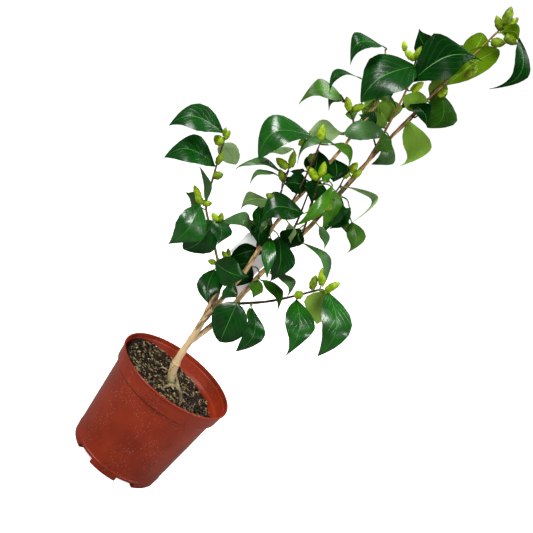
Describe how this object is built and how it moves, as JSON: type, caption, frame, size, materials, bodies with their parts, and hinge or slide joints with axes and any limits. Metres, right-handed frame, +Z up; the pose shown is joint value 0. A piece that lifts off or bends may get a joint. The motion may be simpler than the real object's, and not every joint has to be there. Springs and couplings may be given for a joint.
{
  "type": "potted camellia shrub",
  "caption": "Young camellia shrub with glossy dark leaves and lime buds, leaning a little in a round terracotta-red nursery pot, with a blank hanging label.",
  "frame": {"origin": "centre of the pot's flat underside", "axes": "+Z up along the pot's axis, +X towards the plant's right seen from its front, -Y towards its front"},
  "size_m": [0.3622, 0.211, 0.8697],
  "materials": {
    "pot_plastic": "satin",
    "compost": "matte",
    "bark": "matte",
    "twig_bark": "matte",
    "leaf": "satin",
    "blank_card": "satin"
  },
  "bodies": {
    "root": {"pot": "pot_plastic", "soil": "compost", "trunk": "bark", "stem_right": "bark", "stem_middle": "bark", "bough_back_high": "twig_bark", "bough_back_left": "twig_bark", "bough_back_low": "twig_bark", "bough_back_mid": "twig_bark", "bough_back_top": "twig_bark", "bough_centre": "twig_bark", "bough_front": "twig_bark", "bough_left": "twig_bark", "bough_left_centre": "twig_bark", "bough_low_right": "twig_bark", "bough_top": "twig_bark", "bough_upper_left": "twig_bark", "label": "blank_card", "foliage_back_high": "leaf", "foliage_back_left": "leaf", "foliage_back_low": "leaf", "foliage_back_mid": "leaf", "foliage_back_top": "leaf", "foliage_centre": "leaf", "foliage_centre_back": "leaf", "foliage_centre_high": "leaf", "foliage_crown_right": "leaf", "foliage_heart": "leaf", "foliage_left_centre": "leaf", "foliage_left_high": "leaf", "foliage_left_inner": "leaf", "foliage_left_mid": "leaf", "foliage_left_top": "leaf", "foliage_left_under": "leaf", "foliage_low_front": "leaf", "foliage_low_left": "leaf", "foliage_low_right": "leaf", "foliage_right_arm": "leaf", "foliage_right_high": "leaf", "foliage_right_mid": "leaf", "foliage_right_upper": "leaf", "foliage_tip": "leaf", "foliage_top_front": "leaf", "foliage_top_left": "leaf", "foliage_top_right": "leaf", "foliage_upper_back": "leaf", "foliage_upper_left": "leaf", "foliage_upper_mid": "leaf"}
  },
  "joints": []
}
